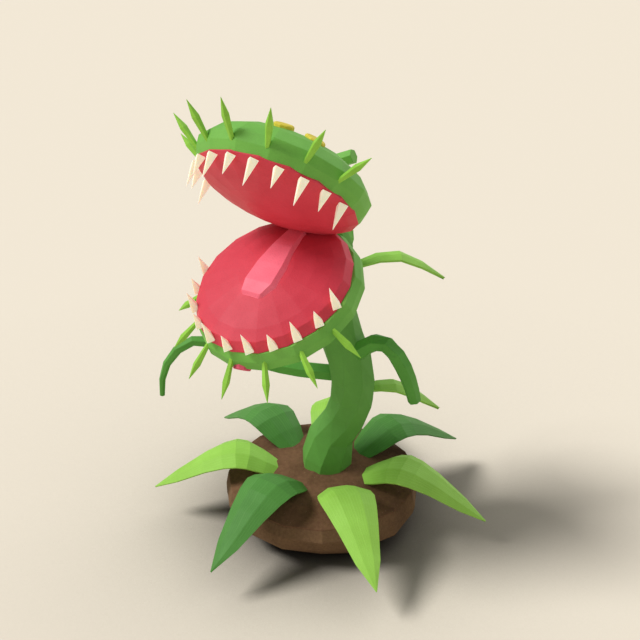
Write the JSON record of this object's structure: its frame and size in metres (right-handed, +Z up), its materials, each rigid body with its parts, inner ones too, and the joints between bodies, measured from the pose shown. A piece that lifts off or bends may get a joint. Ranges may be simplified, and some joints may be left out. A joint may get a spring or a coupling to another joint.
{
  "type": "potted venus flytrap",
  "caption": "Potted venus flytrap: a wide-open toothed trap with cilia on a bent stem, tendrils and a rosette of arched leaves in a low bowl of earth.",
  "frame": {"origin": "centre of the bowl's foot, on the surface it stands on", "axes": "+Z up; the trap's mouth opens towards -Y; +X to the trap's left as it faces -Y"},
  "size_m": [0.1948, 0.1918, 0.2577],
  "materials": {
    "bowl": "matt brown earthenware",
    "earth": "matt packed peat",
    "stem": "satin green plant skin",
    "tendril": "satin dark green plant skin",
    "light_leaf": "satin light green leaf",
    "dark_leaf": "satin dark green leaf",
    "stem_leaf": "satin green leaf",
    "lobe": "satin green lobe",
    "lining": "satin red lobe lining",
    "tongue": "satin pink"
  },
  "bodies": {
    "root": {"pot": "bowl", "soil": "earth", "stem": "stem", "base_leaf_1": "light_leaf", "base_leaf_2": "dark_leaf", "base_leaf_3": "light_leaf", "base_leaf_4": "dark_leaf", "base_leaf_5": "light_leaf", "base_leaf_6": "dark_leaf", "base_leaf_7": "light_leaf", "stem_leaf_upper": "stem_leaf", "stem_leaf_lower": "stem_leaf", "tendril_right": "tendril", "tendril_left": "tendril", "tendril_back": "tendril", "lower_lobe": "lobe", "upper_lobe": "lobe", "lower_lining": "lining", "upper_lining": "lining", "tongue": "tongue"}
  },
  "joints": []
}
